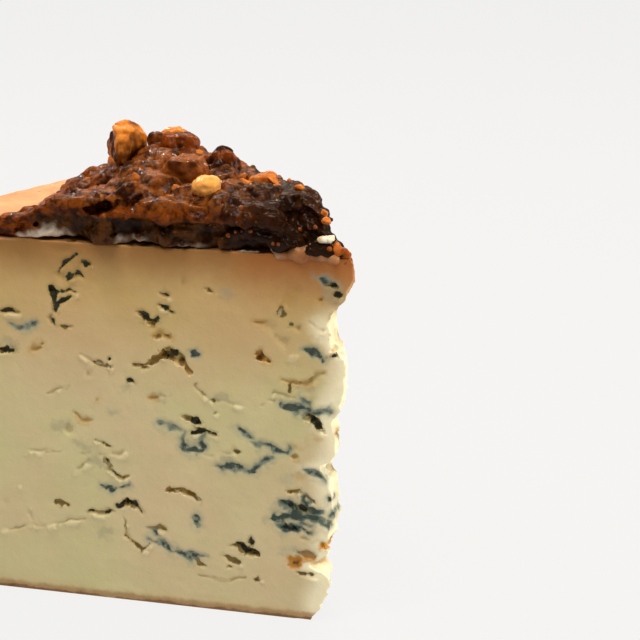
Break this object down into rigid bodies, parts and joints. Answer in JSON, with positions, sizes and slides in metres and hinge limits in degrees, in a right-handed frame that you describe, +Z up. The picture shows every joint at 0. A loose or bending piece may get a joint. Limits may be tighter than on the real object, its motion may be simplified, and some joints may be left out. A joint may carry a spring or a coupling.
{
  "type": "blue cheese wedge",
  "caption": "Wedge of blue-veined cheese with two straight cut faces, a broken tip and a rind, under a layer of fig and nut paste that stops short of the rind.",
  "frame": {"origin": "middle of the bounding box, at the height of the flat underside", "axes": "+Z up; the front cut face looks along -Y; the broken tip points along +X and the rind is at -X"},
  "size_m": [0.098, 0.0708, 0.0991],
  "materials": {
    "cheese": "moist creamy cut faces with blue-green veins and torn openings, tan washed rind",
    "paste": "sticky wrinkled brown fruit paste with fine seeds, glossy",
    "nut": "chopped nut pieces glazed with syrup"
  },
  "bodies": {
    "root": {"cheese_wedge": "cheese", "fig_nut_paste": "paste", "nut_piece_1": "nut", "nut_piece_2": "nut", "nut_piece_3": "nut", "nut_piece_4": "nut", "nut_piece_5": "nut", "nut_piece_6": "nut", "nut_piece_7": "nut", "nut_piece_8": "nut", "nut_piece_9": "nut"}
  },
  "joints": []
}
